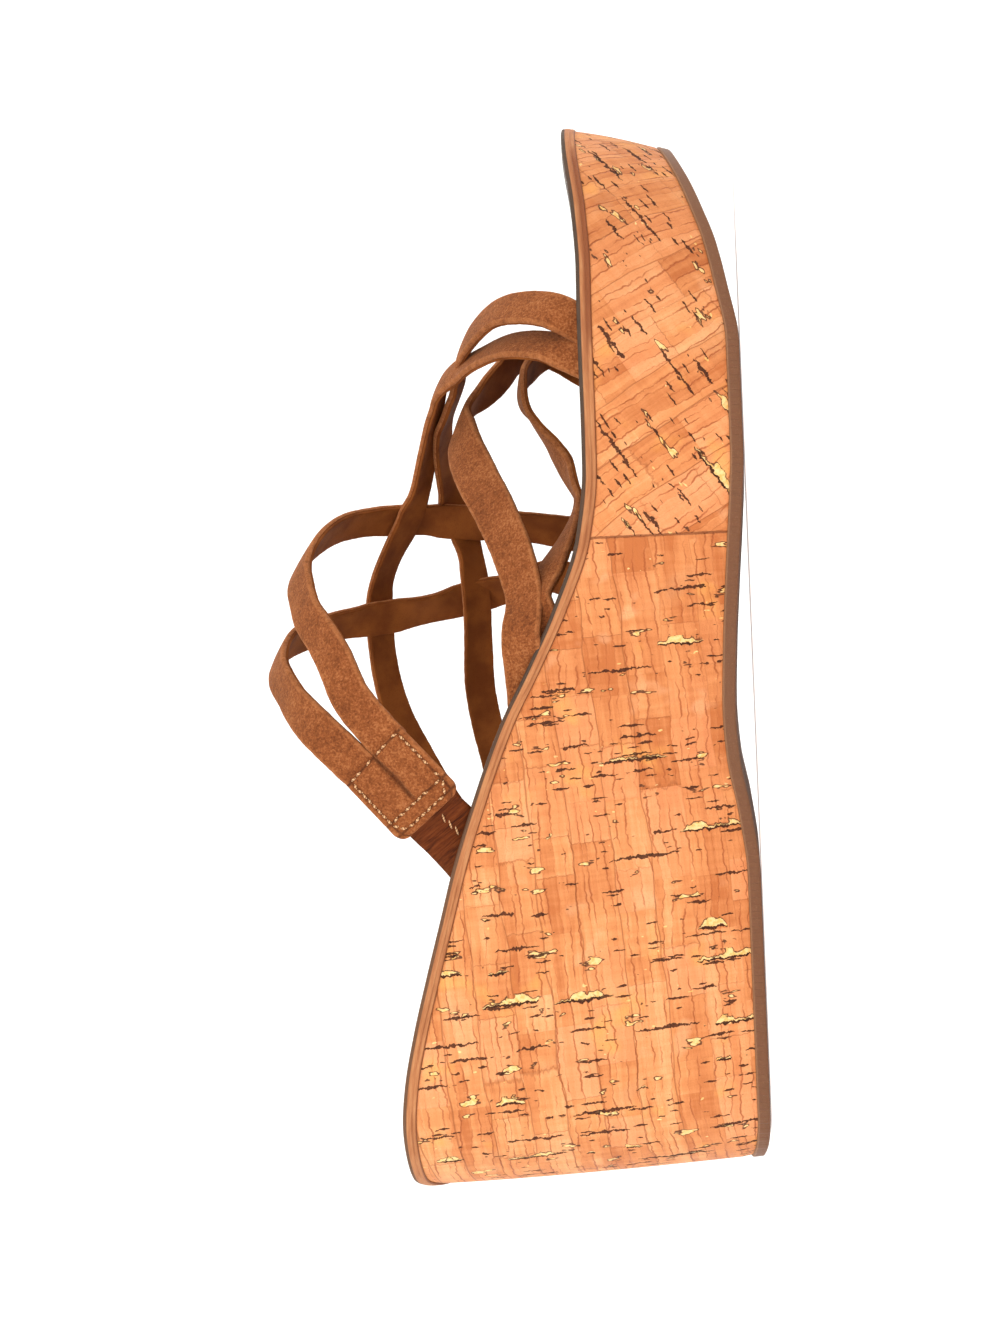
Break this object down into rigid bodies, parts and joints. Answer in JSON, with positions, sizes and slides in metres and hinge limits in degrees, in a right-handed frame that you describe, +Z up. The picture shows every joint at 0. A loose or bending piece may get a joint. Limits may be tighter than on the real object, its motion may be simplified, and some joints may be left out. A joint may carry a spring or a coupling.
{
  "type": "platform sandal",
  "caption": "Slip-on platform sandal: a cork wedge that rises to a high heel, and narrow suede straps that cross over the foot and meet in a sewn tab.",
  "frame": {"origin": "middle of the flat spot under the heel, where the sandal stands on the floor", "axes": "+X from the heel to the toe, +Y to the inner side of the foot, +Z up from the floor; millimetres in the source, metres here"},
  "size_m": [0.254, 0.0866, 0.1154],
  "materials": {
    "outsole": "matte moulded sole, brown",
    "cork": "cork veneer of pressed strips with dark cracks, thin clear coat",
    "rim_leather": "tan leather rim with a darker groove line",
    "insole_leather": "dark brown leather, satin, painted edge",
    "suede": "napped suede outside, smooth dark brown lining inside",
    "smooth_leather": "dark brown smooth leather with fine ribs across, satin"
  },
  "bodies": {
    "root": {"outsole": "outsole", "cork_wedge": "cork", "midsole": "rim_leather", "insole": "insole_leather", "upper": "suede", "anchor_strap": "smooth_leather"}
  },
  "joints": []
}
